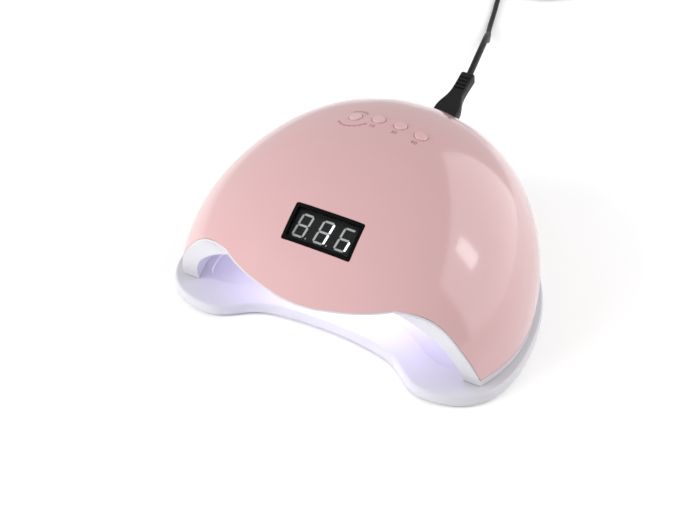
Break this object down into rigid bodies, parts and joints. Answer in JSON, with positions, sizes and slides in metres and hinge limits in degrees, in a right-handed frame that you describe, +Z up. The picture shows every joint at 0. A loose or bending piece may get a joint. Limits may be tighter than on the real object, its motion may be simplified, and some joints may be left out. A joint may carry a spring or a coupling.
{
  "type": "uv led nail lamp",
  "caption": "Domed desk lamp that cures gel nails: a hand slides in from the front onto a removable tray under UV LEDs; display in front, buttons on top, mains cord at the back.",
  "frame": {"origin": "on the table, at the middle of the lamp's length and width without its cord", "axes": "+Z up, the hand goes in from -Y, the cord leaves at +Y, +X to the right seen from the front"},
  "size_m": [0.2166, 0.6392, 0.1073],
  "materials": {
    "pink_shell": "high gloss moulded",
    "white_housing": "satin gloss moulded",
    "pale_tray": "satin translucent",
    "rubber_feet": "matte",
    "magnet_nickel": "nickel plated",
    "screw_steel": "zinc plated",
    "lens_acrylic": "clear gloss",
    "black_plastic": "fine texture",
    "display_black": "satin",
    "board_green": "solder mask",
    "board_white": "white solder mask",
    "led_ceramic": "satin",
    "led_emitter": "emissive violet",
    "sensor_dark": "gloss",
    "transformer_tape": "tape",
    "capacitor_sleeve": "sleeve",
    "aluminium_fin": "extruded",
    "contact_brass": "nickel plated brass",
    "black_rubber": "satin PVC",
    "wire_sleeve": "PVC",
    "tie_white": "satin"
  },
  "bodies": {
    "tray": {"tray": "pale_tray", "tray_feet": "rubber_feet", "tray_magnets": "magnet_nickel"},
    "housing": {"inner_housing": "white_housing", "housing_magnets": "magnet_nickel", "housing_screws": "screw_steel", "top_cover": "pink_shell", "display_lens": "lens_acrylic", "display_bezel": "black_plastic", "display_module": "display_black", "display_board": "board_green", "button_board": "board_green", "button_board_screws": "screw_steel", "switch_bodies": "black_plastic", "led_beads": "led_ceramic", "led_lenses": "led_emitter", "hand_sensor": "sensor_dark", "driver_board": "board_green", "driver_board_screws": "screw_steel", "transformer": "transformer_tape", "capacitors": "capacitor_sleeve", "heat_sink": "aluminium_fin", "buzzer": "black_plastic", "inlet_socket": "black_plastic", "inlet_pins": "contact_brass", "mains_lead": "wire_sleeve", "display_harness": "wire_sleeve", "button_harness": "wire_sleeve", "led_boards": "board_white", "led_wires": "wire_sleeve"},
    "cord_set": {"connector": "black_rubber", "cord": "black_rubber", "cord_coil": "black_rubber", "coil_tie": "tie_white", "cord_tail": "black_rubber", "mains_plug": "black_rubber", "plug_pins": "contact_brass"},
    "button_1": {"button_1": "pink_shell", "switch_plunger_1": "black_plastic"},
    "button_2": {"button_2": "pink_shell", "switch_plunger_2": "black_plastic"},
    "button_3": {"button_3": "pink_shell", "switch_plunger_3": "black_plastic"},
    "button_4": {"button_4": "pink_shell", "switch_plunger_4": "black_plastic"}
  },
  "joints": [
    {"name": "housing_lift", "type": "slide", "parent": "tray", "child": "housing", "axis": [0, 0, 1], "range_m": [0, 0.06]},
    {"name": "connector_pull", "type": "slide", "parent": "housing", "child": "cord_set", "axis": [0, 0.9542, 0.299], "range_m": [0, 0.012]},
    {"name": "button_1_press", "type": "slide", "parent": "housing", "child": "button_1", "axis": [0, 0, -1], "range_m": [0, 0.0006], "stiffness_N_per_m": 1500},
    {"name": "button_2_press", "type": "slide", "parent": "housing", "child": "button_2", "axis": [0, 0, -1], "range_m": [0, 0.0006], "stiffness_N_per_m": 1500},
    {"name": "button_3_press", "type": "slide", "parent": "housing", "child": "button_3", "axis": [0, 0, -1], "range_m": [0, 0.0006], "stiffness_N_per_m": 1500},
    {"name": "button_4_press", "type": "slide", "parent": "housing", "child": "button_4", "axis": [0, 0, -1], "range_m": [0, 0.0006], "stiffness_N_per_m": 1500}
  ]
}
